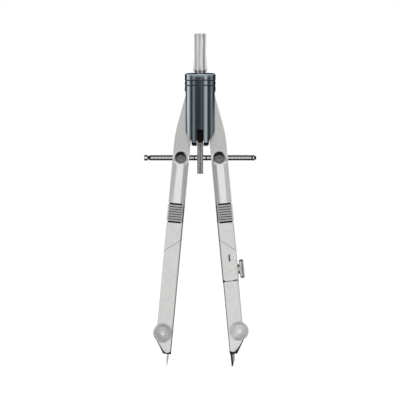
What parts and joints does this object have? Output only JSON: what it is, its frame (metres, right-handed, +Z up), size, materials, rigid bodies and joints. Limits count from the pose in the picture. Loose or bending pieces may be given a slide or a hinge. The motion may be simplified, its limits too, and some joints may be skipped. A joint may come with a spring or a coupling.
{
  "type": "bow compass",
  "caption": "Bow compass with a geared head, a cross spindle, ribbed legs, a clamped needle and a removable lead insert",
  "frame": {"origin": "On the handle's axis, half way up the plain round band that fingers or a holder grip", "axes": "+Z runs up the handle away from the points, +X to the side of the lead insert, -Y to the front with the clamp knobs"},
  "size_m": [0.056, 0.0154, 0.1664],
  "materials": {
    "petrol_casing": "glossy dark petrol anodising on a turned sleeve",
    "satin_nickel": "fine satin nickel plate",
    "polished_steel": "polished",
    "turned_steel": "turned",
    "stamped_steel": "stamped, dull at its cut edges",
    "dark_steel": "blued and polished",
    "satin_knob": "turned nickel plate",
    "knurled_steel": "knurled nickel plate",
    "needle_steel": "polished",
    "brass": "plain",
    "graphite": "drawing lead, cut to a chisel"
  },
  "bodies": {
    "head": {"head_sleeve": "petrol_casing", "head_yoke": "dark_steel", "handle": "polished_steel", "handle_pin": "turned_steel", "pivot_pins": "turned_steel", "pivot_washers": "brass", "guide_bar": "stamped_steel", "bar_pin": "turned_steel"},
    "left_leg": {"left_leg": "satin_nickel", "needle_clamp_nut": "turned_steel"},
    "right_leg": {"right_leg": "satin_nickel"},
    "left_trunnion": {"left_trunnion": "dark_steel", "left_trunnion_ring": "turned_steel"},
    "right_trunnion": {"right_trunnion": "dark_steel", "right_trunnion_ring": "turned_steel"},
    "slide_block": {"slide_block": "brass"},
    "spindle": {"spindle": "polished_steel", "spindle_button": "polished_steel", "spindle_collar": "polished_steel"},
    "needle_knob": {"needle_knob": "satin_knob"},
    "needle": {"needle": "needle_steel"},
    "lead_insert": {"lead_insert": "satin_nickel", "lead_clamp_nut": "turned_steel"},
    "insert_screw": {"insert_screw": "knurled_steel"},
    "lead_knob": {"lead_knob": "satin_knob"},
    "lead": {"lead": "graphite"}
  },
  "joints": [
    {"name": "left_leg_swing", "type": "hinge", "parent": "head", "child": "left_leg", "pos_m": [-0.00325, 0, -0.0131], "axis": [0, 1, 0], "range_deg": [-6, 20]},
    {"name": "right_leg_swing", "type": "hinge", "parent": "head", "child": "right_leg", "pos_m": [0.00325, 0, -0.0131], "axis": [0, -1, 0], "range_deg": [-6, 20]},
    {"name": "left_trunnion_turn", "type": "hinge", "parent": "left_leg", "child": "left_trunnion", "pos_m": [-0.0096, 0, -0.0459], "axis": [0, -1, 0], "range_deg": [-6, 20]},
    {"name": "right_trunnion_turn", "type": "hinge", "parent": "right_leg", "child": "right_trunnion", "pos_m": [0.0096, 0, -0.0459], "axis": [0, 1, 0], "range_deg": [-6, 20]},
    {"name": "spindle_slide", "type": "slide", "parent": "left_trunnion", "child": "slide_block", "axis": [1, 0, 0], "range_m": [-0.00332, 0.01102]},
    {"name": "spindle_turn", "type": "hinge", "parent": "slide_block", "child": "spindle", "pos_m": [0, 0, -0.0459], "axis": [1, 0, 0], "range_deg": [-1697, 5657]},
    {"name": "needle_knob_turn", "type": "hinge", "parent": "left_leg", "child": "needle_knob", "pos_m": [-0.01882, 0, -0.13334], "axis": [0, -1, 0], "range_deg": [0, 540]},
    {"name": "needle_slide", "type": "slide", "parent": "left_leg", "child": "needle", "axis": [-0.0924, 0, -0.9957], "range_m": [-0.005, 0.006]},
    {"name": "insert_slide", "type": "slide", "parent": "right_leg", "child": "lead_insert", "axis": [0.0924, 0, -0.9957], "range_m": [0, 0.012]},
    {"name": "insert_screw_turn", "type": "hinge", "parent": "right_leg", "child": "insert_screw", "pos_m": [0.01967, 0, -0.10143], "axis": [0.9957, 0, 0.0924], "range_deg": [0, 720]},
    {"name": "lead_knob_turn", "type": "hinge", "parent": "lead_insert", "child": "lead_knob", "pos_m": [0.01943, 0, -0.13238], "axis": [0, -1, 0], "range_deg": [0, 540]},
    {"name": "lead_slide", "type": "slide", "parent": "lead_insert", "child": "lead", "axis": [0.0924, 0, -0.9957], "range_m": [-0.005, 0.012]}
  ],
  "couplings": [
    {"joint": "right_leg_swing", "follows": "left_leg_swing", "ratio": 1},
    {"joint": "left_trunnion_turn", "follows": "left_leg_swing", "ratio": 1},
    {"joint": "right_trunnion_turn", "follows": "left_leg_swing", "ratio": 1},
    {"joint": "spindle_slide", "follows": "left_leg_swing", "m_per_rad": 0.03151},
    {"joint": "spindle_turn", "follows": "left_leg_swing", "ratio": 282.83}
  ]
}
